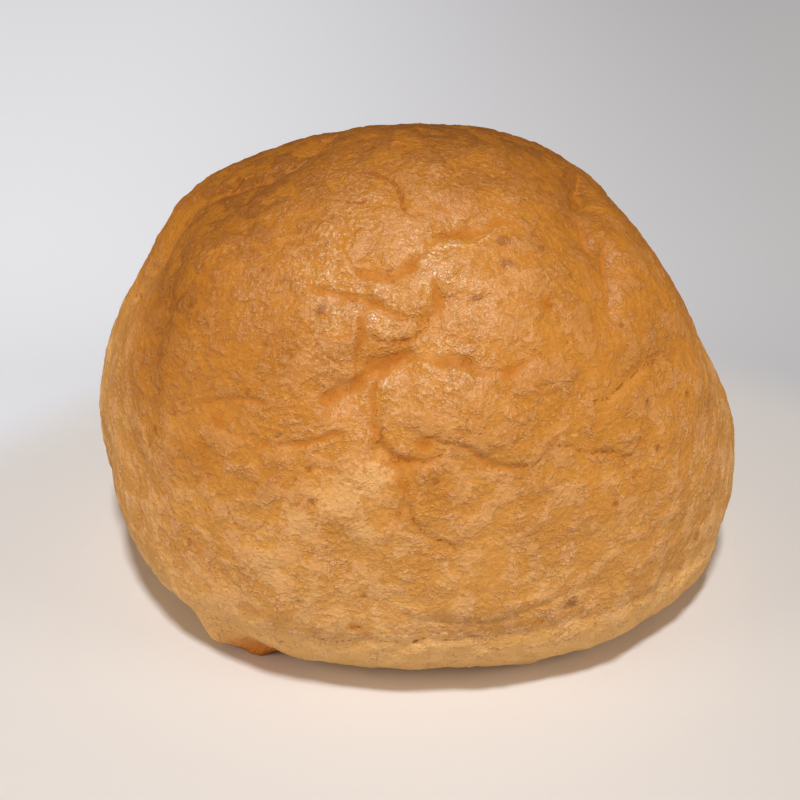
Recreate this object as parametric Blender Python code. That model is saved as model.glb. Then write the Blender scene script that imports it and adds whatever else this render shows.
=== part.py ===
"""Cream puff: one baked choux puff, uncut, standing on its flat base.

The crust is a lopsided dome. A rounded form with unlike reaches to each side is worked out
first, then soft lobes swell it, and folds are pressed in where the dough tore and closed
again while it rose. The plate that it was baked on leaves the underside flat.
"""
import math

import bmesh
import bpy
import numpy as np

# Driving dimensions, in metres. Directions are seen from the heart of the puff.
LEFT_REACH = 0.0448
RIGHT_REACH = 0.0459
FRONT_REACH = 0.0426
BACK_REACH = 0.0425
CROWN_RISE = 0.0454
UNDER_DROP = 0.0210
HEART_HEIGHT = 0.0190      # the heart lies this far over the flat base
CROWN_ROUNDNESS = 2.05     # 2 is an ellipse, and more is squarer
UNDER_ROUNDNESS = 3.7
FOLD_RADIUS = 0.0440       # the usual distance from the heart to the crust
CUTS_PER_SIDE = 29
MESH_LEAN = (0.0, -0.20, 0.25)   # draws the faces together at the front and the crown

# Lobes: (turn, rise) of the middle in degrees, spread in degrees, height in metres.
# Turn goes from the front towards the right, and rise goes up from the level of the heart.
LOBES = {
    "crown front": ((-5, 62), 24, 0.0005),
    "back crown slope": ((180, 62), 20, -0.0023),
    "upper left lobe": ((-104, 48), 14, 0.0033),
    "upper left hollow": ((-124, 46), 18, -0.0028),
    "left lobe": ((-93, 14), 14, 0.0017),
    "left waist": ((-98, -4), 12, 0.0027),
    "left foot": ((-64, -24), 13, 0.0004),
    "dome left shoulder": ((-58, 40), 16, 0.0022),
    "right flank hollow": ((100, 31), 27, -0.0040),
    "right lobe": ((66, 40), 13, 0.0015),
    "right cheek": ((50, 12), 18, 0.0006),
    "right side": ((88, -3), 13, 0.0017),
    "right foot": ((76, -25), 13, 0.0023),
    "low right foot": ((60, -24), 11, 0.0020),
    "front right foot": ((38, -24), 14, 0.0016),
    "front foot": ((0, -24), 16, -0.0004),
    "raised plate": ((10, 29), 11, 0.0009),
    "left belly": ((-32, 10), 16, 0.0007),
    "front hollow": ((-12, 36), 9, -0.0008),
    "back left lobe": ((-150, 18), 20, 0.0018),
    "back right lobe": ((152, 26), 19, 0.0024),
    "back low hollow": ((-178, 2), 14, -0.0012),
    "leak at the lip": ((-43, -23.5), 4.6, 0.0026),
    "leak drop": ((-36, -28), 4.2, 0.0036),
}

# Folds: (turn, rise) along the path in degrees, half width, depth and step in metres.
# The step lifts the crust on the left of the path and lowers it on the right.
FOLDS = {
    "left crease": (((-118, 76), (-82, 70), (-77, 62), (-84, 54), (-83, 45), (-81, 38),
                     (-86, 30), (-96, 24)), 0.0022, 0.0014, 0.0002),
    "lobe fold": (((-84, 50), (-67, 44), (-60, 38), (-58, 31), (-57, 21), (-59, 8), (-66, -6)),
                  0.0028, 0.0016, 0.0008),
    "right fold": (((96, 60), (78, 60), (66, 58), (56, 55), (54, 52), (56, 50), (51, 46),
                    (47, 41), (45, 36)), 0.0022, 0.0015, 0.0006),
    "right crack": (((60, 30), (50, 31), (44, 30.5), (39, 29.5), (34, 29.5)),
                    0.0018, 0.0008, 0.0004),
    "upper fold": (((36, 62), (18, 62), (8, 61.5), (1, 58.5), (-5, 55.5), (-12, 54),
                    (-17, 54.5), (-23, 57)), 0.0021, 0.0009, 0.0003),
    "crown vee": (((-30, 50), (-20, 50), (-13, 50), (-6, 48), (0, 47), (4, 49), (4, 54)),
                  0.0020, 0.0008, 0.0001),
    "front hollow fold": (((0, 42), (-5, 41), (-10, 39), (-14, 36.5), (-18, 34), (-18, 30)),
                          0.0024, 0.0011, -0.0003),
    "front seam": (((-5, 43), (-8.5, 38), (-9.5, 34), (-8, 29), (-4.5, 24), (-2.5, 20),
                    (-3.5, 16), (-5, 10)), 0.0018, 0.0009, 0.0002),
    "plate top edge": (((-7, 42), (-1, 41), (6, 39.8), (13, 38), (18, 37.5), (26, 39)),
                       0.0018, 0.0006, -0.0003),
    "plate under edge": (((-6, 31), (0, 29), (5, 27.5), (10, 25), (14, 23), (18, 22),
                          (22, 23), (27, 26)), 0.0018, 0.0010, 0.0005),
    "cheek crease": (((24, 26.5), (26.5, 24), (30, 22.5), (35, 20.5), (40, 19), (43, 21.5)),
                     0.0018, 0.0006, 0.0003),
    "blister pit": (((-44, 16), (-40, 17), (-37, 15), (-34, 13)), 0.0018, 0.0006, 0.0),
    "foot groove": (((-76, -17), (-50, -19.5), (-31, -17), (-7, -15), (8, -15), (22, -13.5),
                     (36, -12), (56, -11), (86, -14)), 0.0018, 0.0005, 0.0),
    "back fold": (((150, 72), (172, 55), (178, 38), (170, 20), (146, -6)),
                  0.0026, 0.0020, 0.0006),
    "back branch": (((178, 40), (-168, 30), (-158, 14), (-163, -2)),
                    0.0022, 0.0014, 0.0004),
    "back right fold": (((120, 52), (126, 38), (118, 22), (122, 6)),
                        0.0022, 0.0015, 0.0004),
}
FOLD_END_SHARE = 0.18      # a fold fades out over this share of its path at each end
SAMPLES_PER_SPAN = 10

CRUST_COLOUR = (0.56, 0.225, 0.035, 1.0)
CRUST_ROUGHNESS = 0.55


def clear_scene():
    for old in list(bpy.data.objects):
        bpy.data.objects.remove(old, do_unlink=True)


def crust_material():
    """Golden brown baked crust, with a soft shine."""
    material = bpy.data.materials.new("baked_crust")
    material.use_nodes = True
    shader = material.node_tree.nodes["Principled BSDF"]
    shader.inputs["Base Color"].default_value = CRUST_COLOUR
    shader.inputs["Roughness"].default_value = CRUST_ROUGHNESS
    shader.inputs["Metallic"].default_value = 0.0
    return material


def normalised(vectors):
    return vectors / np.linalg.norm(vectors, axis=1, keepdims=True)


def direction(turn, rise):
    """The unit vector that points from the heart towards this turn and rise."""
    turn = math.radians(turn)
    rise = math.radians(rise)
    return np.array((
        math.sin(turn) * math.cos(rise),
        -math.cos(turn) * math.cos(rise),
        math.sin(rise),
    ))


def dome_radius(directions):
    """Distance from the heart to the plain dome: a superellipse between level and upright."""
    side = np.where(directions[:, 0] < 0, LEFT_REACH, RIGHT_REACH)
    depth = np.where(directions[:, 1] < 0, FRONT_REACH, BACK_REACH)
    height = np.where(directions[:, 2] < 0, UNDER_DROP, CROWN_RISE)
    roundness = np.where(directions[:, 2] < 0, UNDER_ROUNDNESS, CROWN_ROUNDNESS)
    level = np.hypot(directions[:, 0] / side, directions[:, 1] / depth)
    upright = np.abs(directions[:, 2]) / height
    return (level ** roundness + upright ** roundness) ** (-1 / roundness)


def lobe_height(directions, middle, spread, height):
    """A round swelling that falls away with the angle from its middle."""
    cosine = np.clip(directions @ direction(*middle), -1, 1)
    angle = np.degrees(np.arccos(cosine))
    return height * np.exp(-(angle / spread) ** 2)


def smooth_path(stops):
    """A curve on the unit sphere through the stops, read at even shares of each span."""
    stops = np.array([direction(*stop) for stop in stops])
    stops = np.vstack((2 * stops[0] - stops[1], stops, 2 * stops[-1] - stops[-2]))
    share = np.linspace(0, 1, SAMPLES_PER_SPAN, endpoint=False)[:, None]
    spans = []
    for before, start, end, after in zip(stops, stops[1:], stops[2:], stops[3:]):
        spans.append(0.5 * (
            2 * start
            + (end - before) * share
            + (2 * before - 5 * start + 4 * end - after) * share ** 2
            + (3 * start - before - 3 * end + after) * share ** 3
        ))
    spans.append(stops[-2:-1])
    return normalised(np.vstack(spans))


def nearest_on_path(directions, path):
    """For each direction: its distance to the path, its side, and the share along the path."""
    lengths = np.linalg.norm(np.diff(path, axis=0), axis=1)
    starts = np.concatenate(((0.0,), np.cumsum(lengths)))
    distance = np.full(len(directions), np.inf)
    side = np.zeros(len(directions))
    along = np.zeros(len(directions))
    for index, length in enumerate(lengths):
        run = path[index + 1] - path[index]
        offset = directions - path[index]
        share = np.clip(offset @ run / length ** 2, 0, 1)
        across = offset - share[:, None] * run
        gap = np.linalg.norm(across, axis=1)
        closer = gap < distance
        turned = np.einsum("ij,ij->i", np.cross(run, across), directions)
        distance = np.where(closer, gap, distance)
        side = np.where(closer, np.sign(turned), side)
        along = np.where(closer, starts[index] + share * length, along)
    return distance, side, along / starts[-1]


def fold_height(directions, stops, half_width, depth, step):
    """A pressed-in valley with a low step beside it, fading out towards both ends."""
    distance, side, along = nearest_on_path(directions, smooth_path(stops))
    across = distance * FOLD_RADIUS / half_width
    valley = -depth / (1 + across ** 2) * np.exp(-(across / 4) ** 2)
    lip = step * side * np.tanh(across) * np.exp(-(across / 3.5) ** 2)
    fade = np.clip(np.minimum(along, 1 - along) / FOLD_END_SHARE, 0, 1)
    return (valley + lip) * fade ** 2 * (3 - 2 * fade)


def crust_points(directions):
    """The crust in each direction, cut level where the puff stands."""
    radius = dome_radius(directions)
    for middle, spread, height in LOBES.values():
        radius += lobe_height(directions, middle, spread, height)
    for stops, half_width, depth, step in FOLDS.values():
        radius += fold_height(directions, stops, half_width, depth, step)
    downward = np.maximum(-directions[:, 2], 1e-6)
    radius = np.minimum(radius, HEART_HEIGHT / downward)
    return directions * radius[:, None]


def sphere_directions(cube_points):
    """Even directions from a divided cube, leaning towards the front and the crown."""
    even = normalised(np.tan(cube_points * math.pi / 4))
    return normalised(even + np.array(MESH_LEAN))


def standing_points(points):
    """Moves the points so that the origin is at the middle of the box's underside."""
    low = points.min(axis=0)
    high = points.max(axis=0)
    return points - np.array(((low[0] + high[0]) / 2, (low[1] + high[1]) / 2, low[2]))


def build_puff(collection, material):
    """The whole puff as one closed crust, from a cube divided and drawn out to the form."""
    bm = bmesh.new()
    bmesh.ops.create_cube(bm, size=2.0)
    bmesh.ops.subdivide_edges(bm, edges=bm.edges[:], cuts=CUTS_PER_SIDE, use_grid_fill=True)
    cube_points = np.array([vertex.co[:] for vertex in bm.verts])
    points = standing_points(crust_points(sphere_directions(cube_points)))
    for vertex, point in zip(bm.verts, points):
        vertex.co = point
    bmesh.ops.recalc_face_normals(bm, faces=bm.faces[:])
    mesh = bpy.data.meshes.new("choux_puff")
    bm.to_mesh(mesh)
    bm.free()
    mesh.shade_smooth()
    mesh.materials.append(material)
    puff = bpy.data.objects.new("choux_puff", mesh)
    collection.objects.link(puff)
    return puff


def main():
    clear_scene()
    collection = bpy.data.collections.new("cream_puff")
    bpy.context.scene.collection.children.link(collection)
    build_puff(collection, crust_material())


main()
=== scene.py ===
import itertools
import math

import bpy
import numpy as np
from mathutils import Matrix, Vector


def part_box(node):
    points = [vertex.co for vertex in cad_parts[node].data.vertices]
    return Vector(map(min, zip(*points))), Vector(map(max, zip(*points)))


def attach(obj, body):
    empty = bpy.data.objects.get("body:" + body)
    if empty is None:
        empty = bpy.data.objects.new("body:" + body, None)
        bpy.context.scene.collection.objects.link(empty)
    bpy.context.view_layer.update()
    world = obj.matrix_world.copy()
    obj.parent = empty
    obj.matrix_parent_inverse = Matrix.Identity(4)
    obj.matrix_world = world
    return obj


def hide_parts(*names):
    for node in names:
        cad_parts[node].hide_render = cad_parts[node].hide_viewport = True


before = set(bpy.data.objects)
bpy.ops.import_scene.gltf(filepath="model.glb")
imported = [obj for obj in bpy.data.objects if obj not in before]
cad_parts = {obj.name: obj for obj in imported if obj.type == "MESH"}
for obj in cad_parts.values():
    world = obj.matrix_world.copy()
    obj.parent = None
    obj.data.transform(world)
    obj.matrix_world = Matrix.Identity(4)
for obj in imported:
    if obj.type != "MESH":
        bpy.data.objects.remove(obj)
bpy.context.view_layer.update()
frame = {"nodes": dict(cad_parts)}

mm = 0.001
print("frame loaded:", ", ".join(frame["nodes"]))

# The main form, in mm from the heart of the puff. Turn goes from the front to the right and
# rise goes up from the level of the heart, both in degrees.
form = {
    "left": 44.8,
    "right": 45.9,
    "front": 42.6,
    "back": 42.5,
    "crown": 45.4,
    "under": 21.0,
    "heart": 19.0,          # height of the heart over the flat base
    "crownRound": 2.05,     # 2 is an ellipse, more is squarer
    "underRound": 3.7,
    "crustAt": 44.0,        # usual distance from the heart to the crust
    "foldFade": 0.18,       # share of a fold's path over which each end fades out
    "lobes": {              # (turn, rise), spread in degrees, height in mm
        "crown front": ((-5, 62), 24, 0.5),
        "back crown slope": ((180, 62), 20, -2.3),
        "upper left lobe": ((-104, 48), 14, 3.3),
        "upper left hollow": ((-124, 46), 18, -2.8),
        "left lobe": ((-93, 14), 14, 1.7),
        "left waist": ((-98, -4), 12, 2.7),
        "left foot": ((-64, -24), 13, 0.4),
        "dome left shoulder": ((-58, 40), 16, 2.2),
        "right flank hollow": ((100, 31), 27, -4.0),
        "right lobe": ((66, 40), 13, 1.5),
        "right cheek": ((50, 12), 18, 0.6),
        "right side": ((88, -3), 13, 1.7),
        "right foot": ((76, -25), 13, 2.3),
        "low right foot": ((60, -24), 11, 2.0),
        "front right foot": ((38, -24), 14, 1.6),
        "front foot": ((0, -24), 16, -0.4),
        "raised plate": ((10, 29), 11, 0.9),
        "left belly": ((-32, 10), 16, 0.7),
        "front hollow": ((-12, 36), 9, -0.8),
        "back left lobe": ((-150, 18), 20, 1.8),
        "back right lobe": ((152, 26), 19, 2.4),
        "back low hollow": ((-178, 2), 14, -1.2),
        "leak at the lip": ((-43, -23.5), 4.6, 2.6),
        "leak drop": ((-36, -28), 4.2, 3.6),
    },
}

# Folds where the dough tore and closed again: (turn, rise) along the path, half width, depth
# and step in mm, then half the width of the smooth amber ribbon at its bottom and of the dark
# crack there. The step lifts the crust on the left of the path and lowers it on the right.
folds = {
    "left crease": (((-118, 76), (-82, 70), (-77, 62), (-84, 54), (-83, 45), (-81, 38),
                     (-86, 30), (-96, 24)), 2.2, 1.4, 0.2, 0.35, 0.25),
    "lobe fold": (((-84, 50), (-67, 44), (-60, 38), (-58, 31), (-57, 21), (-59, 8), (-66, -6)),
                  2.5, 0.6, 0.3, 0.0, 0.0),
    "right fold": (((96, 60), (78, 60), (66, 58), (56, 55), (54, 52), (56, 50), (51, 46),
                    (47, 41), (45, 36)), 2.2, 1.5, 0.6, 0.3, 0.0),
    "right crack": (((60, 30), (50, 31), (44, 30.5), (39, 29.5), (34, 29.5)),
                    0.9, 0.6, 0.3, 0.2, 0.12),
    "upper fold": (((36, 62), (18, 62), (8, 61.5), (1, 58.5), (-5, 55.5), (-12, 54),
                    (-17, 54.5), (-23, 57)), 2.1, 0.8, 0.3, 0.75, 0.0),
    "crown vee": (((-30, 50), (-20, 50), (-13, 50), (-6, 48), (0, 47), (4, 49), (4, 54)),
                  1.9, 0.7, 0.1, 0.60, 0.0),
    "vee branch": (((-12, 51), (-13, 46), (-13, 42), (-14, 38)), 1.5, 0.4, 0.0, 0.45, 0.0),
    "vee hem": (((-13, 43.5), (-8, 43.7), (-2, 44), (1, 46), (4, 49)), 1.2, 0.2, 0.1, 0.30, 0.07),
    "front hollow": (((0, 42), (-5, 41), (-10, 39), (-14, 36.5), (-18, 34), (-18, 30)),
                     2.4, 1.0, -0.3, 0.90, 0.0),
    "front seam": (((-5, 43), (-8.5, 38), (-9.5, 34), (-8, 29), (-4.5, 24), (-2.5, 20),
                    (-3.5, 16), (-5, 10)), 1.6, 0.3, 0.2, 0.50, 0.0),
    "seam pocket": (((-9, 28), (-5, 25.5), (-2, 24), (1, 24), (4, 26)), 1.3, 0.5, 0.1, 0.45, 0.04),
    "plate top edge": (((-7, 42), (-1, 41), (6, 39.8), (13, 38), (18, 37.5), (26, 39)),
                       1.5, 0.5, -0.3, 0.60, 0.0),
    "plate under edge": (((-6, 31), (0, 29), (5, 27.5), (10, 25), (14, 23), (18, 22),
                          (22, 23), (27, 26)), 1.5, 0.35, 0.35, 0.30, 0.0),
    "cheek crease": (((24, 26.5), (26.5, 24), (30, 22.5), (35, 20.5), (40, 19), (43, 21.5)),
                     1.3, 0.3, 0.2, 0.20, 0.04),
    "low crease": (((-4, 19), (-1, 14.5), (1, 11.5), (7, 9)), 1.0, 0.2, 0.1, 0.3, 0.03),
    "left slit": (((-27, 24), (-21, 25.5), (-14, 28)), 1.0, 0.1, 0.0, 0.5, 0.0),
    "left line": (((-46, 25), (-38, 29), (-30, 30), (-20, 31)), 1.1, 0.15, 0.05, 0.15, 0.0),
    "blister crack": (((-37, 13.5), (-34, 11), (-32, 7.5)), 1.0, 0.1, 0.0, 0.0, 0.10),
    "crown line": (((-38, 72), (-29, 74), (-17, 73), (-11, 71.5), (-6.5, 68.5), (-5, 65)),
                   0.8, 0.4, 0.1, 0.12, 0.25),
    "crown tick": (((-36, 66), (-28, 66.5), (-22, 68)), 0.9, 0.3, 0.1, 0.1, 0.18),
    "foot groove": (((-76, -15), (-50, -17), (-31, -15.5), (-16, -12.5), (-3, -11), (8, -10.5),
                     (20, -10.5), (31, -10), (42, -10.2), (56, -11), (86, -13)),
                    1.2, 0.4, 0.0, 0.0, 0.02),
    "leak crease": (((-46, -13), (-40, -14.5), (-35, -18), (-30, -19), (-25, -17)),
                    0.9, 0.5, 0.1, 0.0, 0.10),
    "low crack": (((-4, -5), (2, -6), (9, -6.5), (17, -5.5), (28, -3)), 0.8, 0.3, 0.1, 0.0, 0.05),
    "back fold": (((150, 72), (172, 55), (178, 38), (170, 20), (146, -6)),
                  2.6, 2.0, 0.6, 0.5, 0.2),
    "back branch": (((178, 40), (-168, 30), (-158, 14), (-163, -2)), 2.0, 1.4, 0.4, 0.6, 0.0),
    "back right fold": (((120, 52), (126, 38), (118, 22), (122, 6)), 2.2, 1.5, 0.4, 0.5, 0.2),
}

# Thin pale lip lines where a sheet of crust curls up, partly a painted highlight where the raised edge catches the
# light: (turn, rise) along the path, half width in mm.
paleLipsAndHighlights = (
    (((1, 56), (3, 58), (6, 59), (9, 59.8), (13.5, 59.2), (17.5, 59.5), (22, 60), (28, 62)), 0.22),
    (((2, 39.8), (6, 39), (9, 38), (13, 37), (17, 37.7), (20, 39)), 0.16),
    (((-5, 40), (-6.5, 37.5), (-7.2, 35), (-7.5, 32)), 0.20),
    (((-74, 63), (-79, 68), (-84, 71)), 0.25),
    (((25, 25.4), (29, 25.2), (33, 24.6)), 0.18),
    (((48, 42), (52, 38.5), (55, 35.5), (59, 33)), 0.16),
    (((-52, -15), (-41, -12.5), (-27, -11), (-16, -10.6), (-3, -9.6), (8, -9.2), (20, -9.2),
      (31, -8.8), (42, -9), (60, -10)), 0.24),
)

# Marks of the baking: (turn, rise) and size in mm.
specks = (
    ((27, 59), 0.9), ((25, 55), 0.9), ((14.5, 50), 0.7), ((-23, 47), 0.6), ((38, 56), 0.6),
    ((27, -5.5), 1.1), ((-54, 18), 0.7), ((3, 21), 0.6), ((58, -5), 0.8), ((-34, 31), 0.6),
    ((46, 26), 0.5), ((-26, 26), 0.5), ((35, 12), 0.5), ((-56, 14), 0.6),
)
paleSpots = (
    ((-8.5, 21), 2.2), ((-3, 8.5), 1.4), ((-26, 2), 2.6),
    ((-14, 17.5), 2.6), ((-21, 13), 2.2), ((-10, 12), 1.8),
)

# Where the crust is darker or lighter than elsewhere: (turn, rise), spread in degrees, share. Partly real
# browned crust, as over the toasted back of the crown, and partly painted light and shade: the flanks, the
# left lobe and foot and the belly painted lighter where they take less light, the front of the crown lighter
# where the highlight falls, and the darker back of the crown reaching over the top edge as painted shade.
browningAndPaintedLight = (
    ((180, 62), 50, 0.57), ((-42, 62), 19, 0.03), ((40, 62), 17, 0.03), ((0, 57), 22, -0.20), ((-12, 12), 20, -0.05),
    ((-70, 56), 12, 0.20), ((-59, 38), 9, 0.22), ((-57, 25), 8, 0.14), ((-32, 10), 16, 0.02),
    ((-30, 35), 14, 0.12), ((92, 8), 28, -0.20), ((-93, 14), 20, -0.33), ((-62, -18), 16, -0.14), ((-41, 17.5), 4, 0.20), ((1, 20), 4, 0.14),
)

# Where the pale sheets of crust gather or are missing: (turn, rise), spread in degrees, share.
sheetBias = (
    ((-17, 14), 9, 0.35), ((10, 30), 9, 0.20), ((26, 51), 9, 0.30), ((-24, 46), 6, 0.20),
    ((-28, 3), 8, 0.20), ((0, 61), 12, 0.20), ((-38, 30), 8, -0.20), ((36, 5), 14, -0.15),
    ((1, 15), 5, -0.25), ((-40.5, 17.5), 4.5, -0.60), ((-93, 25), 16, -0.20), ((-60, 5), 14, -0.10),
)

# The crust's finer relief, in mm.
crust = {
    "cells": 128,                   # faces along each side of the divided cube
    "lean": (-0.02, -0.25, 0.33),   # draws the faces together at the front and the crown
    "wander": (4.0, 0.55),          # how far apart and how far the folds stray
    "swell": ((13.0, 0.45), (6.0, 0.26), (3.0, 0.12)),
    "ribbonDepth": 0.10,
    "ribbonLip": 0.08,
    "flakeLength": (3.1, 3.1, 2.7),
    "flakeLift": 0.12,
    "crinkleLength": 1.25,
    "crinkleLift": 0.11,
    "poreLength": 3.0,
    "poreShare": 0.20,
    "poreDepth": 0.30,
    "pitLength": 5.5,
    "pitShare": 0.25,
    "pitDepth": 0.15,
}


def unitLength(vectors):
    return vectors / np.linalg.norm(vectors, axis=-1, keepdims=True)


def towards(turn, rise):
    # The unit vector from the heart at this turn and rise: sine and cosine of turn, tilted up by rise.
    turn = np.radians(turn)
    rise = np.radians(rise)
    level = np.cos(rise)
    return np.stack((np.sin(turn) * level, -np.cos(turn) * level, np.sin(rise)), -1)


def smoothStep(low, high, value):
    share = np.clip((value - low) / (high - low), 0, 1)
    return share * share * (3 - 2 * share)


def hashed(cell, seed):
    # A fixed random number from 0 to 1 for each whole-numbered cell, from mixed products.
    mixed = cell[..., 0] * 374761393 + cell[..., 1] * 668265263 + cell[..., 2] * 1440662683
    mixed = mixed + seed * 1013904223
    mixed = (mixed ^ (mixed >> 13)) * 1274126177
    mixed = (mixed ^ (mixed >> 16)) * 2246822519
    return ((mixed >> 9) & 0xFFFFFF) / 16777216.0


def slopeNoise(points, seed):
    # Gradient noise, about -1 to 1: random slopes at the cell corners, blended by a quintic ease.
    low = np.floor(points).astype(np.int64)
    part = points - low
    ease = part ** 3 * (part * (part * 6 - 15) + 10)
    total = np.zeros(len(points))
    for corner in itertools.product((0, 1), repeat=3):
        cell = low + np.array(corner)
        slope = np.stack([hashed(cell, seed * 3 + k) for k in range(3)], -1) * 2 - 1
        weight = np.prod(np.where(np.array(corner), ease, 1 - ease), axis=-1)
        total += weight * ((part - np.array(corner)) * slope).sum(-1)
    return total * 1.7


def layeredNoise(points, layers, seed, keep=0.5):
    # Sum of noises, each layer twice as fine and keep times as strong as the last.
    total = np.zeros(len(points))
    for layer in range(layers):
        total += keep ** layer * slopeNoise(points * 2.03 ** layer + 17.3 * layer, seed + layer)
    return total


def noiseVector(points, layers, seed):
    return np.stack([layeredNoise(points, layers, seed + 31 * k) for k in range(3)], -1)


def cellNoise(points, seed):
    # Distance to the nearest of one random point per cell, and that point's own number.
    low = np.floor(points).astype(np.int64)
    nearest = np.full(len(points), 9.0)
    number = np.zeros(len(points))
    for side in itertools.product((-1, 0, 1), repeat=3):
        cell = low + np.array(side)
        spot = cell + np.stack([hashed(cell, seed * 3 + k) for k in range(3)], -1)
        gap = np.linalg.norm(points - spot, axis=-1)
        closer = gap < nearest
        nearest = np.where(closer, gap, nearest)
        number = np.where(closer, hashed(cell, seed * 3 + 7), number)
    return nearest, number


def sphereGrid(cells, lean):
    # Six square grids on the sides of a cube, spaced by the tangent and drawn to the unit
    # sphere; shared edge points become one, and the lean draws the points to one side.
    across = np.tan(np.linspace(-math.pi / 4, math.pi / 4, cells + 1))
    u, v = np.meshgrid(across, across, indexing="ij")
    one = np.ones_like(u)
    sides = ((one, u, v), (-one, v, u), (v, one, u), (u, -one, v), (u, v, one), (v, u, -one))
    points = unitLength(np.concatenate([np.stack(side, -1).reshape(-1, 3) for side in sides]))
    row, column = np.meshgrid(np.arange(cells), np.arange(cells), indexing="ij")
    first = (row * (cells + 1) + column).reshape(-1)
    patch = np.stack((first, first + cells + 1, first + cells + 2, first + 1), -1)
    quads = np.concatenate([patch + side * (cells + 1) ** 2 for side in range(6)])
    _, kept, place = np.unique(np.round(points, 6), axis=0, return_index=True, return_inverse=True)
    points = points[kept]
    quads = place.reshape(-1)[quads]
    corners = points[quads]
    facing = np.cross(corners[:, 2] - corners[:, 0], corners[:, 3] - corners[:, 1])
    inward = (facing * corners.sum(1)).sum(-1) < 0
    quads[inward] = quads[inward][:, ::-1]
    return unitLength(points + np.array(lean)), quads


def pointNormals(points, quads):
    # Each point's normal: the sum of the normals of the faces round it.
    corners = points[quads]
    facing = np.cross(corners[:, 2] - corners[:, 0], corners[:, 3] - corners[:, 1])
    total = np.zeros_like(points)
    for k in range(4):
        for axis in range(3):
            total[:, axis] += np.bincount(quads[:, k], facing[:, axis], len(points))
    return unitLength(total)


def domeRadius(directions):
    # Distance from heart to dome: a superellipse between the level reach and the upright reach.
    side = np.where(directions[:, 0] < 0, form["left"], form["right"])
    depth = np.where(directions[:, 1] < 0, form["front"], form["back"])
    height = np.where(directions[:, 2] < 0, form["under"], form["crown"])
    power = np.where(directions[:, 2] < 0, form["underRound"], form["crownRound"])
    level = np.hypot(directions[:, 0] / side, directions[:, 1] / depth)
    upright = np.abs(directions[:, 2]) / height
    return (level ** power + upright ** power) ** (-1 / power)


def spot(directions, middle, spread):
    # 1 at the middle, falling away with the square of the angle over the spread.
    angle = np.degrees(np.arccos(np.clip(directions @ towards(*middle), -1, 1)))
    return np.exp(-(angle / spread) ** 2)


def smoothPath(stops):
    # A Catmull-Rom curve through the stops on the unit sphere, read ten times in each span.
    stops = np.array([towards(*stop) for stop in stops])
    stops = np.vstack((2 * stops[0] - stops[1], stops, 2 * stops[-1] - stops[-2]))
    share = np.linspace(0, 1, 10, endpoint=False)[:, None]
    spans = []
    for before, start, end, after in zip(stops, stops[1:], stops[2:], stops[3:]):
        spans.append(0.5 * (
            2 * start
            + (end - before) * share
            + (2 * before - 5 * start + 4 * end - after) * share ** 2
            + (3 * start - before - 3 * end + after) * share ** 3
        ))
    return unitLength(np.vstack(spans + [stops[-2:-1]]))


def nearestOnPath(directions, path):
    # For each direction: the distance to the path in mm, its side, and its share along the path.
    lengths = np.linalg.norm(np.diff(path, axis=0), axis=1)
    starts = np.concatenate(((0.0,), np.cumsum(lengths)))
    distance = np.full(len(directions), np.inf)
    side = np.zeros(len(directions))
    along = np.zeros(len(directions))
    for index, length in enumerate(lengths):
        run = path[index + 1] - path[index]
        offset = directions - path[index]
        share = np.clip(offset @ run / length ** 2, 0, 1)
        across = offset - share[:, None] * run
        gap = np.linalg.norm(across, axis=1)
        closer = gap < distance
        turned = np.einsum("ij,ij->i", np.cross(run, across), directions)
        distance = np.where(closer, gap, distance)
        side = np.where(closer, np.sign(turned), side)
        along = np.where(closer, starts[index] + share * length, along)
    return distance * form["crustAt"], side, along / starts[-1]


def foldRelief(directions, unevenness, fold):
    # Height: a valley of depth / (1 + s^2) with a step of tanh(s) beside it, where s is the
    # distance over the half width. Inside and cracked: how far within the amber ribbon and
    # within the dark crack, in mm.
    stops, halfWidth, depth, step, ribbon, crack = fold
    height = np.zeros(len(directions))
    inside = np.full(len(directions), -3.0)
    cracked = np.full(len(directions), -3.0)
    path = smoothPath(stops)
    reach = math.cos(5 * halfWidth / form["crustAt"])
    near = (directions @ path[::2].T).max(axis=1) > reach
    distance, side, along = nearestOnPath(directions[near], path)
    s = distance / halfWidth
    fade = smoothStep(0, form["foldFade"], np.minimum(along, 1 - along))
    valley = -depth / (1 + s ** 2) * np.exp(-(s / 4) ** 2)
    lip = step * side * np.tanh(s) * np.exp(-(s / 3.5) ** 2)
    height[near] = (valley + lip) * fade
    width = ribbon * np.sqrt(np.sin(math.pi * np.clip(along, 0.001, 0.999)))
    if ribbon > 0:
        inside[near] = np.maximum(width * unevenness[near] - distance, -3.0)
    if crack > 0:
        cracked[near] = np.maximum(crack * fade - distance, -3.0)
    return height, inside, cracked


def crustRadius(directions):
    # Dome, lobes and folds together, and how far inside a ribbon or a crack each point lies.
    radius = domeRadius(directions)
    for middle, spread, height in form["lobes"].values():
        radius += height * spot(directions, middle, spread)
    gap, far = crust["wander"]
    places = directions * form["crustAt"]
    strayed = unitLength(places + far * noiseVector(places / gap, 2, 5))
    unevenness = 0.9 + 1.25 * slopeNoise(places / 3.0, 9)
    inside = np.full(len(directions), -3.0)
    cracked = np.full(len(directions), -3.0)
    for fold in folds.values():
        height, within, crack = foldRelief(strayed, unevenness, fold)
        radius += height
        inside = np.maximum(inside, within)
        cracked = np.maximum(cracked, crack)
    return radius, inside, cracked


def grainPlaces(points):
    # Places for the crinkles, in mm: half of the way along a level ring, and the whole way
    # down from the crown, so that crinkles come out twice as long as they are high.
    unit = unitLength(points)
    down = np.arccos(np.clip(unit @ towards(180, 70), -1, 1))
    right = np.array((1.0, 0.0, 0.0))
    front = -towards(180, -20)
    ring = np.stack((unit @ right, unit @ front), -1) * form["crustAt"] * 0.70
    places = np.concatenate((ring, down[:, None] * form["crustAt"]), -1)
    return places + 1.3 * noiseVector(points / 7, 1, 40) + 0.55 * noiseVector(points / 2.2, 1, 44)


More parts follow.
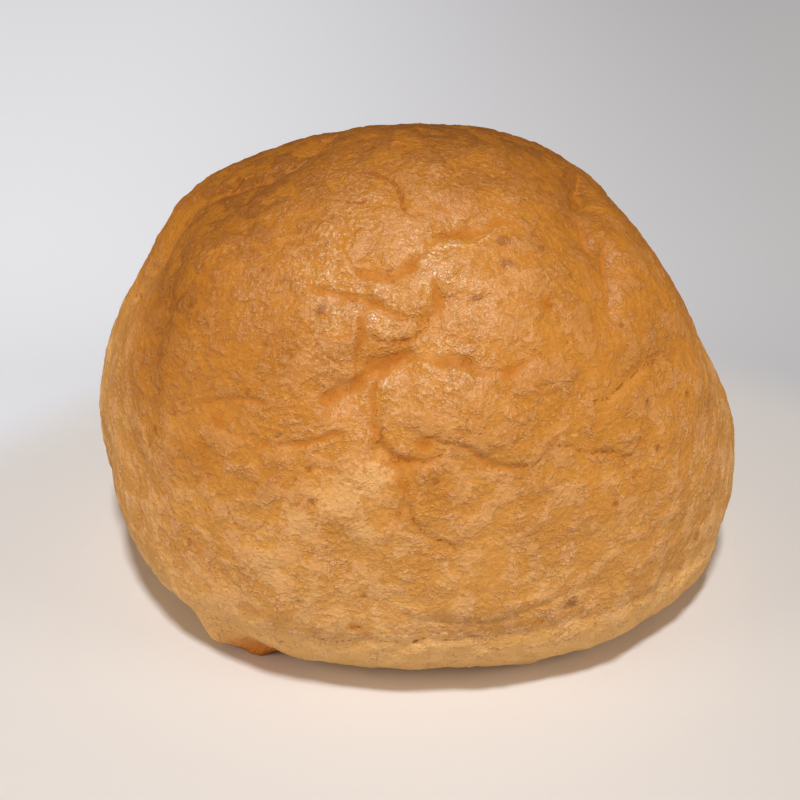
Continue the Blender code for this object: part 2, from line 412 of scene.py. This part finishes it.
def marks(directions, places, spots, raggedness):
    # The most of exp(-(distance / size)^2) over the marks, each with a ragged edge.
    most = np.zeros(len(directions))
    for middle, size in spots:
        distance = np.linalg.norm(places - towards(*middle) * form["crustAt"], axis=1)
        most = np.maximum(most, np.exp(-(distance * (1 + raggedness) / size) ** 2))
    return most


def lipLines(directions, strayed):
    # How far within a pale lip each point lies, in mm.
    within = np.full(len(directions), -3.0)
    for stops, halfWidth in paleLipsAndHighlights:
        path = smoothPath(stops)
        near = (directions @ path[::2].T).max(axis=1) > math.cos(3 / form["crustAt"])
        distance, _, along = nearestOnPath(directions[near] + strayed[near], path)
        thin = halfWidth * np.sqrt(np.sin(math.pi * np.clip(along, 0.001, 0.999)))
        within[near] = np.maximum(within[near], thin - distance)
    return within


def crustSurface():
    directions, quads = sphereGrid(crust["cells"], crust["lean"])
    radius, inside, cracked = crustRadius(directions)
    smooth = directions * radius[:, None]
    normals = pointNormals(smooth, quads)
    grain = grainPlaces(smooth)
    places = directions * form["crustAt"]
    print("crust form worked out:", len(smooth), "points")

    ragged = 0.5 * layeredNoise(smooth / 1.3, 2, 70)
    swell = sum(lift * slopeNoise(smooth / length, 60 + k)
                for k, (length, lift) in enumerate(crust["swell"]))
    inside = inside + 0.22 * ragged
    ribbon = smoothStep(-0.15, 0.25, inside)
    ribbonLip = np.exp(-((inside + 0.40) / 0.30) ** 2)

    flake = layeredNoise(smooth / np.array(crust["flakeLength"]), 3, 80, 0.6) - 0.12
    for middle, spread, share in sheetBias:
        flake = flake + share * spot(directions, middle, spread)
    flakeShare = smoothStep(-0.04, 0.10, flake) * (1 - ribbon)

    fine = grain / crust["crinkleLength"]
    crinkle = 1 - 2.2 * np.abs(slopeNoise(fine, 90)) + 0.4 * slopeNoise(fine * 2.1, 91)
    stirred = smoothStep(-0.35, 0.45, slopeNoise(smooth / 6.5, 95))
    # where the key light's reflection falls: a glossier coat, stronger crinkles and a painted highlight in the
    # colour
    glossAndPaintedGlint = spot(directions, (-5, 52), 20) * (0.35 + 0.8 * stirred) * (1 - 0.7 * ribbon)
    crinkleShare = (0.20 + 0.25 * stirred) * (1 - 0.7 * ribbon) + 0.50 * glossAndPaintedGlint

    gap, number = cellNoise(smooth / crust["poreLength"], 110)
    size = 0.09 + 0.12 * number / crust["poreShare"]
    pore = np.where(number < crust["poreShare"], np.exp(-(gap / size) ** 2), 0)
    gap, number = cellNoise(smooth / crust["pitLength"], 120)
    size = 0.08 + 0.14 * number / crust["pitShare"]
    pit = np.where(number < crust["pitShare"], size - gap * (1 + 0.5 * ragged), -1)
    pit = np.maximum(pit * crust["pitLength"], -3)

    # how far the crust has browned, with the painted light and shade of the spots above added in: little at the
    # foot, most over the back of the crown
    bakedAndPaintedLight = 0.12 + 0.42 * smoothStep(-0.45, 0.75, directions[:, 2])
    for middle, spread, share in browningAndPaintedLight:
        bakedAndPaintedLight = bakedAndPaintedLight + share * spot(directions, middle, spread)

    lift = swell
    lift = lift - crust["ribbonDepth"] * ribbon + crust["ribbonLip"] * ribbonLip
    lift = lift + crust["flakeLift"] * flakeShare
    lift = lift + crust["crinkleLift"] * (crinkle - 0.5) * crinkleShare
    lift = lift - crust["poreDepth"] * pore
    lift = lift - crust["pitDepth"] * smoothStep(-0.2, 0.5, pit)
    points = smooth + normals * lift[:, None]
    points[:, 2] = np.maximum(points[:, 2], -form["heart"])
    height = points[:, 2] + form["heart"]
    masks = {
        "ribbon": np.maximum(inside, pit),
        "flake": flake,
        "pore": pore,
        "stain": marks(directions, places, specks, ragged),
        "cracked": cracked,
        "lip": lipLines(directions, 0.35 * noiseVector(places / 3, 1, 130) / form["crustAt"]),
        "pale": marks(directions, places, paleSpots, ragged),
        "crinkle": crinkle,
        "stirred": crinkleShare,
        "glossAndPaintedGlint": glossAndPaintedGlint,
        "bakedAndPaintedLight": bakedAndPaintedLight,
        "height": height,
        "leak": np.clip(spot(directions, (-34, -27.5), 6.0) * 1.7, 0, 1),
    }
    return points, quads, masks, grain


def addMask(mesh, name, values):
    mask = mesh.attributes.new(name, "FLOAT", "POINT")
    mask.data.foreach_set("value", values.astype(np.float32))


def placeOnFrame(points):
    # Sets the points, in mm from the heart, over the middle of the CAD solid, standing at its base.
    low, high = (np.array(corner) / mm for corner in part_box("choux_puff"))
    middle = (points.max(axis=0) + points.min(axis=0)) / 2
    shift = (low + high) / 2 - middle
    shift[2] = low[2] + form["heart"]
    return points + shift, shift


def buildPuff():
    points, quads, masks, grain = crustSurface()
    points, shift = placeOnFrame(points)
    mesh = bpy.data.meshes.new("chouxCrust")
    mesh.vertices.add(len(points))
    mesh.vertices.foreach_set("co", (points * mm).astype(np.float32).reshape(-1))
    mesh.loops.add(quads.size)
    mesh.loops.foreach_set("vertex_index", quads.astype(np.int32).reshape(-1))
    mesh.polygons.add(len(quads))
    mesh.polygons.foreach_set("loop_start", np.arange(0, quads.size, 4, dtype=np.int32))
    mesh.update(calc_edges=True)
    mesh.validate()
    mesh.shade_smooth()
    for name, values in masks.items():
        addMask(mesh, name, values)
    flow = mesh.attributes.new("grain", "FLOAT_VECTOR", "POINT")
    flow.data.foreach_set("vector", grain.astype(np.float32).reshape(-1))
    puff = bpy.data.objects.new("chouxCrust", mesh)
    bpy.context.scene.collection.objects.link(puff)
    print("crust mesh made:", len(mesh.polygons) * 2, "triangles")
    return puff, shift


# Colours of the crust in linear red, green and blue, and its gloss.
look = {
    "bakedColours": (                    # from the foot to the darkest of the crown
        (0.00, (0.90, 0.510, 0.170)),
        (0.25, (0.74, 0.355, 0.080)),
        (0.50, (0.58, 0.230, 0.032)),
        (0.75, (0.43, 0.148, 0.014)),
        (1.00, (0.26, 0.078, 0.006)),
    ),
    "sheetTint": (1.14, 1.26, 2.30),      # times the colour under it
    "paleTint": (1.28, 1.55, 2.60),
    "lipTint": (1.28, 1.62, 2.60),
    "bare": (0.64, 0.245, 0.022),
    # a painted highlight: whitish colour laid on the crinkles where the key light reflects
    "paintedGlint": (0.97, 0.68, 0.38),
    "ridge": (0.84, 0.470, 0.180),
    "amber": (0.56, 0.192, 0.015),
    "deepAmber": (0.44, 0.125, 0.006),
    "crack": (0.40, 0.115, 0.009),
    # the foot's colour: partly less browned crust, partly painted light standing in for the bounce from the pale
    # table
    "foot": (0.94, 0.560, 0.190),
    "speck": (0.30, 0.088, 0.013),
    "leak": (0.72, 0.25, 0.040),
    "roughDry": 0.56,
    "roughAmber": 0.72,
    "shine": 0.42,
    "roughGlaze": 0.42,
}


class Nodes:
    # Lays out a material's nodes from short calls.
    def __init__(self, tree):
        self.tree = tree
        self.tree.nodes.clear()

    def add(self, kind, settings=None, **inputs):
        node = self.tree.nodes.new(kind)
        for name, value in (settings or {}).items():
            setattr(node, name, value)
        for name, value in inputs.items():
            self.feed(node, name.replace("_", " "), value)
        return node

    def feed(self, node, name, value):
        socket = node.inputs[name]
        if isinstance(value, bpy.types.NodeSocket):
            self.tree.links.new(value, socket)
        else:
            socket.default_value = value

    def mask(self, name):
        return self.add("ShaderNodeAttribute", {"attribute_name": name}).outputs["Fac"]

    def math(self, operation, *values, clamp=False):
        node = self.add("ShaderNodeMath", {"operation": operation, "use_clamp": clamp})
        for index, value in enumerate(values):
            if isinstance(value, bpy.types.NodeSocket):
                self.tree.links.new(value, node.inputs[index])
            else:
                node.inputs[index].default_value = value
        return node.outputs[0]

    def ramp(self, value, low, high, out=(0.0, 1.0)):
        node = self.add("ShaderNodeMapRange", {"interpolation_type": "SMOOTHSTEP"}, Value=value)
        node.inputs["From Min"].default_value = low
        node.inputs["From Max"].default_value = high
        node.inputs["To Min"].default_value = out[0]
        node.inputs["To Max"].default_value = out[1]
        return node.outputs["Result"]

    def blend(self, share, first, second, mode="MIX"):
        node = self.add("ShaderNodeMix", {"data_type": "RGBA", "blend_type": mode})
        ends = ((0, share), (6, first), (7, second))
        for index, value in ends:
            socket = node.inputs[index]
            if isinstance(value, bpy.types.NodeSocket):
                self.tree.links.new(value, socket)
            elif index == 0:
                socket.default_value = value
            else:
                socket.default_value = (*value, 1.0)
        return node.outputs[2]

    def colours(self, value, stops):
        node = self.add("ShaderNodeValToRGB", Fac=value)
        ends = node.color_ramp.elements
        for _ in stops[2:]:
            ends.new(0.5)
        for end, (place, colour) in zip(ends, stops):
            end.position = place
            end.color = (*colour, 1.0)
        return node.outputs["Color"]

    def scaled(self, vector, scale):
        node = self.add("ShaderNodeMapping", Vector=vector)
        node.inputs["Scale"].default_value = scale
        return node.outputs["Vector"]

    def bent(self, vector, scale, reach):
        # The vector moved by a noise of three parts, each up to about half of the reach.
        noise = self.add("ShaderNodeTexNoise", Vector=vector)
        noise.inputs["Scale"].default_value = scale
        noise.inputs["Detail"].default_value = 1.0
        node = self.add("ShaderNodeVectorMath", {"operation": "MULTIPLY_ADD"})
        self.tree.links.new(noise.outputs["Color"], node.inputs[0])
        node.inputs[1].default_value = (reach, reach, reach)
        self.tree.links.new(vector, node.inputs[2])
        return node.outputs["Vector"]

    def noise(self, vector, scale, detail=3.0, roughness=0.55, **more):
        node = self.add("ShaderNodeTexNoise", more, Vector=vector)
        node.inputs["Scale"].default_value = scale
        node.inputs["Detail"].default_value = detail
        node.inputs["Roughness"].default_value = roughness
        return node.outputs[0]


def crustMaterial():
    # Baked choux crust: soft gold, tan and pink mottling, amber in the stretched folds, fine
    # crinkles, dark specks, a toasted crown and a pale foot. Painted light and shade in the colour too: a
    # highlight where the key light reflects, lighter crests, rims and lip lines partly as highlight, dark amber
    # under sheet edges partly as shade, and lighter flanks and foot with a darker top edge.
    material = bpy.data.materials.new("bakedChouxCrust")
    material.use_nodes = True
    n = Nodes(material.node_tree)
    output = n.add("ShaderNodeOutputMaterial")
    shader = n.add("ShaderNodeBsdfPrincipled", Specular_IOR_Level=look["shine"],
                   Coat_Roughness=look["roughGlaze"])
    n.tree.links.new(shader.outputs["BSDF"], output.inputs["Surface"])

    place = n.scaled(n.add("ShaderNodeTexCoord").outputs["Object"], (1000, 1000, 1000))
    flow = n.add("ShaderNodeAttribute", {"attribute_name": "grain"}).outputs["Vector"]
    mottle = n.noise(place, 0.13, 2.0)
    blotch = n.noise(n.scaled(place, (1.0, 1.0, 1.5)), 0.34, 3.0, 0.6)
    fleck = n.noise(place, 1.5, 2.0, 0.6)
    ragged = n.math("SUBTRACT", fleck, 0.5)

    # fine crinkles: broken ridges where a stretched noise passes through its middle value
    middle = n.math("ABSOLUTE", n.math("SUBTRACT", n.noise(flow, 1.15, 2.0, 0.55), 0.5))
    broken = n.ramp(fleck, 0.40, 0.58)
    crinkle = n.math("MULTIPLY", n.ramp(middle, 0.10, 0.0), broken)
    fine = n.noise(place, 1.5, 1.0, 0.6)
    stirred = n.mask("stirred")

    # thin sheets of crust: a noise cut into steps, each with its own tone and a raised edge
    stacked = n.noise(n.scaled(place, (1.0, 1.0, 0.9)), 0.27, 4.0, 0.68)
    stacked = n.math("MULTIPLY", stacked, 8.0)
    across = n.math("FRACT", stacked)
    tone = n.add("ShaderNodeTexWhiteNoise", {"noise_dimensions": "1D"},
                 W=n.math("FLOOR", stacked)).outputs["Value"]
    shown = n.ramp(blotch, 0.42, 0.56)
    # pale rims at the raised top of each step: partly the crust's own pale edge, partly a painted highlight
    sheetRimAndHighlight = n.math("MULTIPLY", n.ramp(across, 0.72, 0.95), shown)
    # dark amber just below each step: partly painted shade under the raised edge
    under = n.math("MULTIPLY", n.ramp(across, 0.16, 0.0), shown)

    # short cracks: parts of the borders between bent cells, and those at the bottom of folds
    cells = n.add("ShaderNodeTexVoronoi", {"feature": "DISTANCE_TO_EDGE"},
                  Vector=n.scaled(n.bent(place, 0.8, 2.4), (0.85, 0.85, 1.0)), Scale=0.38)
    torn = n.math("ADD", mottle, n.ramp(n.mask("height"), 32.0, 12.0, (0.0, 0.07)))
    torn = n.math("MULTIPLY", n.ramp(torn, 0.50, 0.58), broken)
    crack = n.math("MULTIPLY", n.ramp(cells.outputs["Distance"], 0.05, 0.01), torn)
    curled = n.math("MULTIPLY", n.ramp(cells.outputs["Distance"], 0.11, 0.05), torn)
    deepCrack = n.math("ADD", n.mask("cracked"), n.math("MULTIPLY", ragged, 0.9))
    deepCrack = n.ramp(deepCrack, -0.12, 0.12)
    crack = n.math("MAXIMUM", n.math("MULTIPLY", crack, 0.70), deepCrack)
    lip = n.ramp(n.math("ADD", n.mask("lip"), n.math("MULTIPLY", ragged, 0.7)), -0.10, 0.12)

    raggedRibbon = n.math("ADD", n.mask("ribbon"), n.math("MULTIPLY", ragged, 2.4))
    ribbon = n.ramp(raggedRibbon, -0.24, 0.24)

    # torn sheets: crisp tops with pale rims, partly a painted highlight, and amber crust bare beside them
    flake = n.math("ADD", n.mask("flake"), n.math("MULTIPLY", ragged, 1.1))
    flake = n.math("ADD", flake, n.math("MULTIPLY", n.math("SUBTRACT", tone, 0.5), 0.5))
    softTop = n.ramp(flake, -0.50, 0.50)
    flakeTop = n.ramp(flake, -0.03, 0.05)
    partly = n.ramp(blotch, 0.44, 0.54)
    edge = n.math("MULTIPLY", n.ramp(n.math("ABSOLUTE", n.math("SUBTRACT", flake, 0.05)), 0.07, 0.0),
                  partly)
    # dark amber beneath each sheet edge: partly folded-under crust, partly painted shade
    foldedUnderAndShade = n.math("ABSOLUTE", n.math("ADD", flake, 0.07))
    foldedUnderAndShade = n.math("MULTIPLY", n.ramp(foldedUnderAndShade, 0.06, 0.0), partly)

    # the browned value with its painted light and shade, plus noise
    bakedAndPaintedLight = n.mask("bakedAndPaintedLight")
    for noise, share in ((mottle, 0.33), (blotch, 0.22), (fleck, 0.18), (tone, 0.04)):
        bakedAndPaintedLight = n.math("ADD", bakedAndPaintedLight, n.math("MULTIPLY", n.math("SUBTRACT", noise, 0.5), share))
    colour = n.colours(bakedAndPaintedLight, look["bakedColours"])
    dark = n.ramp(bakedAndPaintedLight, 0.05, 0.50, (0.35, 1.00))
    bare = n.ramp(flake, -0.10, -0.50)
    colour = n.blend(n.math("MULTIPLY", bare, 0.35), colour, look["bare"])
    top = n.math("ADD", n.math("MULTIPLY", softTop, 0.35), n.math("MULTIPLY", flakeTop, 0.25))
    colour = n.blend(n.math("MULTIPLY", top, dark), colour, look["sheetTint"], "MULTIPLY")
    grey = n.ramp(fine, 0.30, 0.70, (0.94, 1.06))
    colour = n.blend(1.0, colour, n.add("ShaderNodeCombineXYZ", X=grey, Y=grey, Z=grey).outputs[0],
                     "MULTIPLY")
    # pale foot: partly less browned crust, partly painted light standing in for the bounce from the pale table
    foot = n.ramp(n.math("ADD", n.mask("height"), n.math("MULTIPLY", ragged, 3.0)), 13.0, 7.5)
    colour = n.blend(n.math("MULTIPLY", foot, 0.60), colour, look["foot"])
    # pale rims, sheet edges and curled crack lips: partly the crust's own pale edges, partly a painted highlight
    # where a raised edge catches the light
    sheetRimAndHighlight = n.math("MAXIMUM", n.math("MULTIPLY", sheetRimAndHighlight, 0.35), n.math("MULTIPLY", edge, 0.55))
    sheetRimAndHighlight = n.math("MAXIMUM", sheetRimAndHighlight, n.math("MULTIPLY", curled, 0.60))
    colour = n.blend(n.math("MULTIPLY", sheetRimAndHighlight, dark), colour, look["paleTint"], "MULTIPLY")
    # dark amber under the sheet edges: partly folded-under crust, partly painted shade
    under = n.math("MAXIMUM", n.math("MULTIPLY", under, 0.32), n.math("MULTIPLY", foldedUnderAndShade, 0.45))
    colour = n.blend(under, colour, look["deepAmber"])
    # pale crinkle crests: partly the crust's own pale ridges, partly a painted highlight, strongest where the key
    # light reflects
    paleCrestAndHighlight = n.math("MULTIPLY", n.math("MULTIPLY", crinkle, stirred), 0.50)
    colour = n.blend(n.math("MULTIPLY", paleCrestAndHighlight, dark), colour, look["paleTint"], "MULTIPLY")
    # painted highlight: whitish colour painted on the crinkle ridges where the key light reflects
    paintedGlint = n.math("MULTIPLY", n.math("MULTIPLY", crinkle, n.mask("glossAndPaintedGlint")), 0.50)
    colour = n.blend(paintedGlint, colour, look["paintedGlint"])
    streak = n.ramp(blotch, 0.38, 0.58, (0.45, 1.00))
    colour = n.blend(n.math("MULTIPLY", ribbon, streak), colour, look["amber"])
    deep = n.ramp(n.mask("ribbon"), 0.2, 1.0, (0.0, 0.6))
    colour = n.blend(deep, colour, look["deepAmber"])
    colour = n.blend(n.math("MULTIPLY", crack, 0.80), colour, look["crack"])
    pale = n.ramp(n.math("ADD", n.mask("pale"), n.math("MULTIPLY", ragged, 1.8)), 0.22, 0.70)
    colour = n.blend(n.math("MULTIPLY", pale, 0.60), colour, look["ridge"])
    # pale lip lines: partly the crust's own curled edge, partly a painted highlight
    colour = n.blend(n.math("MULTIPLY", n.math("MULTIPLY", lip, dark), 0.75), colour,
                     look["lipTint"], "MULTIPLY")
    speck = n.math("MAXIMUM", n.mask("pore"), n.mask("stain"))
    speck = n.ramp(n.math("ADD", speck, n.math("MULTIPLY", ragged, 1.4)), 0.15, 0.85)
    colour = n.blend(n.math("MULTIPLY", speck, 0.60), colour, look["speck"])
    colour = n.blend(n.mask("leak"), colour, look["leak"])
    n.feed(shader, "Base Color", colour)

    rough = n.blend(ribbon, (look["roughDry"],) * 3, (look["roughAmber"],) * 3)
    dry = n.math("SUBTRACT", 1.0, ribbon)
    rough = n.math("SUBTRACT", rough, n.math("MULTIPLY", n.math("MULTIPLY", stirred, dry), 0.24))
    rough = n.math("ADD", rough, n.math("MULTIPLY", ragged, 0.3))
    n.feed(shader, "Roughness", rough)
    n.feed(shader, "Coat Weight", n.math("MULTIPLY", n.mask("glossAndPaintedGlint"), 0.22, clamp=True))

    # heights in mm
    calm = n.math("SUBTRACT", 1.0, n.math("MULTIPLY", ribbon, 0.55))
    waves = n.math("MULTIPLY", n.math("MULTIPLY", crinkle, stirred), 0.11)
    waves = n.math("ADD", waves, n.math("MULTIPLY", fine, 0.18))
    waves = n.math("ADD", waves, n.math("MULTIPLY", n.math("MULTIPLY", across, shown), 0.06))
    waves = n.math("ADD", waves, n.math("MULTIPLY", curled, 0.03))
    height = n.math("MULTIPLY", waves, calm)
    height = n.math("ADD", height, n.math("MULTIPLY", n.math("ADD", flakeTop, lip), 0.05))
    height = n.math("SUBTRACT", height, n.math("MULTIPLY", crack, 0.09))
    bump = n.add("ShaderNodeBump", Height=height, Distance=mm)
    bump.inputs["Strength"].default_value = 1.0
    n.feed(shader, "Normal", bump.outputs["Normal"])
    return material


# Floor, light and camera. Lengths in m.
studio = {
    "floorSize": 3.0,
    "floorNearLeft": (0.76, 0.745, 0.735),
    "floorNearRight": (0.65, 0.635, 0.62),
    "floorFarLeft": (0.86, 0.895, 0.97),
    "floorFarRight": (0.53, 0.535, 0.565),
    "warmMiddle": (0.008, -0.035),
    "warmReach": (0.086, 0.108),          # the warm tone ends between these distances
    "keyAt": (0.0, -0.98, 3.0),
    "keySize": 0.44,
    "keyPower": 68.5,
    "fillAt": (0.0, -1.15, 0.8),
    "fillSize": 1.0,
    "fillPower": 1.2,
    "sideAt": (1.2, -0.5, 0.6),           # and the same on the other side
    "sideSize": 0.8,
    "sidePower": 6.8,
    "warmLight": (1.0, 0.84, 0.68),       # of the fill and the side boxes
    "worldColour": (1.0, 0.94, 0.88),
    "worldStrength": 0.045,
    "lens": 70.0,
    "cameraRise": 30.0,
    "cameraAway": 0.230,
    "aimFromHeart": (-2.35, 0.0, 3.7),     # mm
}


def floorMaterial():
    # Warm white close by, turning to a cool grey further back, and darker towards the right as painted shade.
    material = bpy.data.materials.new("paleTable")
    material.use_nodes = True
    n = Nodes(material.node_tree)
    output = n.add("ShaderNodeOutputMaterial")
    shader = n.add("ShaderNodeBsdfPrincipled", Roughness=0.7)
    n.tree.links.new(shader.outputs["BSDF"], output.inputs["Surface"])
    parts = n.add("ShaderNodeSeparateXYZ", Vector=n.add("ShaderNodeTexCoord").outputs["Object"])
    right = n.ramp(parts.outputs["X"], -0.09, 0.12)
    distant = n.blend(right, studio["floorFarLeft"], studio["floorFarRight"])
    near = n.blend(n.ramp(parts.outputs["X"], 0.0, 0.10), studio["floorNearLeft"],
                   studio["floorNearRight"])
    fromMiddle = n.math("POWER", n.math("SUBTRACT", parts.outputs["X"], studio["warmMiddle"][0]), 2)
    back = n.math("POWER", n.math("SUBTRACT", parts.outputs["Y"], studio["warmMiddle"][1]), 2)
    distance = n.math("SQRT", n.math("ADD", fromMiddle, back))
    far = n.ramp(distance, *studio["warmReach"])
    far = n.math("MULTIPLY", far, n.ramp(parts.outputs["Y"], 0.0, 0.03))
    n.feed(shader, "Base Color", n.blend(far, near, distant))
    return material


def buildFloor():
    half = studio["floorSize"] / 2
    corners = [(-half, -half, 0), (half, -half, 0), (half, half, 0), (-half, half, 0)]
    mesh = bpy.data.meshes.new("tableTop")
    mesh.from_pydata(corners, [], [(0, 1, 2, 3)])
    mesh.materials.append(floorMaterial())
    table = bpy.data.objects.new("tableTop", mesh)
    bpy.context.scene.collection.objects.link(table)
    table.visible_glossy = False         # keeps a pale haze off the crust's edges


def aim(thing, target):
    direction = np.array(target) - np.array(thing.location)
    away = math.hypot(direction[0], direction[1])
    thing.rotation_euler = (math.atan2(away, -direction[2]), 0, math.atan2(-direction[0], direction[1]))


def addSoftbox(name, place, size, power, target, colour=(1, 1, 1), shiny=True):
    light = bpy.data.lights.new(name, "AREA")
    light.shape = "DISK"
    light.color = colour
    light.size = size
    light.energy = power
    lamp = bpy.data.objects.new(name, light)
    lamp.location = place
    lamp.visible_glossy = shiny
    bpy.context.scene.collection.objects.link(lamp)
    aim(lamp, target)


def setUpStudio(shift):
    buildFloor()
    heart = shift * mm
    addSoftbox("overheadBox", studio["keyAt"], studio["keySize"], studio["keyPower"], heart)
    warm = studio["warmLight"]
    addSoftbox("frontBox", studio["fillAt"], studio["fillSize"], studio["fillPower"], heart, warm)
    right, front, high = studio["sideAt"]
    for name, across in (("leftBox", -right), ("rightBox", right)):
        place = (across, front, high)
        addSoftbox(name, place, studio["sideSize"], studio["sidePower"], heart, warm, False)
    world = bpy.data.worlds.new("softRoom")
    world.use_nodes = True
    sky = world.node_tree.nodes["Background"]
    sky.inputs["Color"].default_value = (*studio["worldColour"], 1.0)
    sky.inputs["Strength"].default_value = studio["worldStrength"]
    bpy.context.scene.world = world
    bpy.context.scene.view_settings.view_transform = "Standard"

    rise = math.radians(studio["cameraRise"])
    target = heart + np.array(studio["aimFromHeart"]) * mm
    camera = bpy.data.objects.new("camera", bpy.data.cameras.new("camera"))
    camera.data.lens = studio["lens"]
    camera.data.clip_start = 0.01
    camera.location = target + studio["cameraAway"] * np.array((0, -math.cos(rise), math.sin(rise)))
    bpy.context.scene.collection.objects.link(camera)
    aim(camera, target)
    bpy.context.scene.camera = camera
    print("floor, light and camera set up")


puff, shift = buildPuff()
puff.data.materials.append(crustMaterial())
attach(puff, "root")
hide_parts("choux_puff")
setUpStudio(shift)
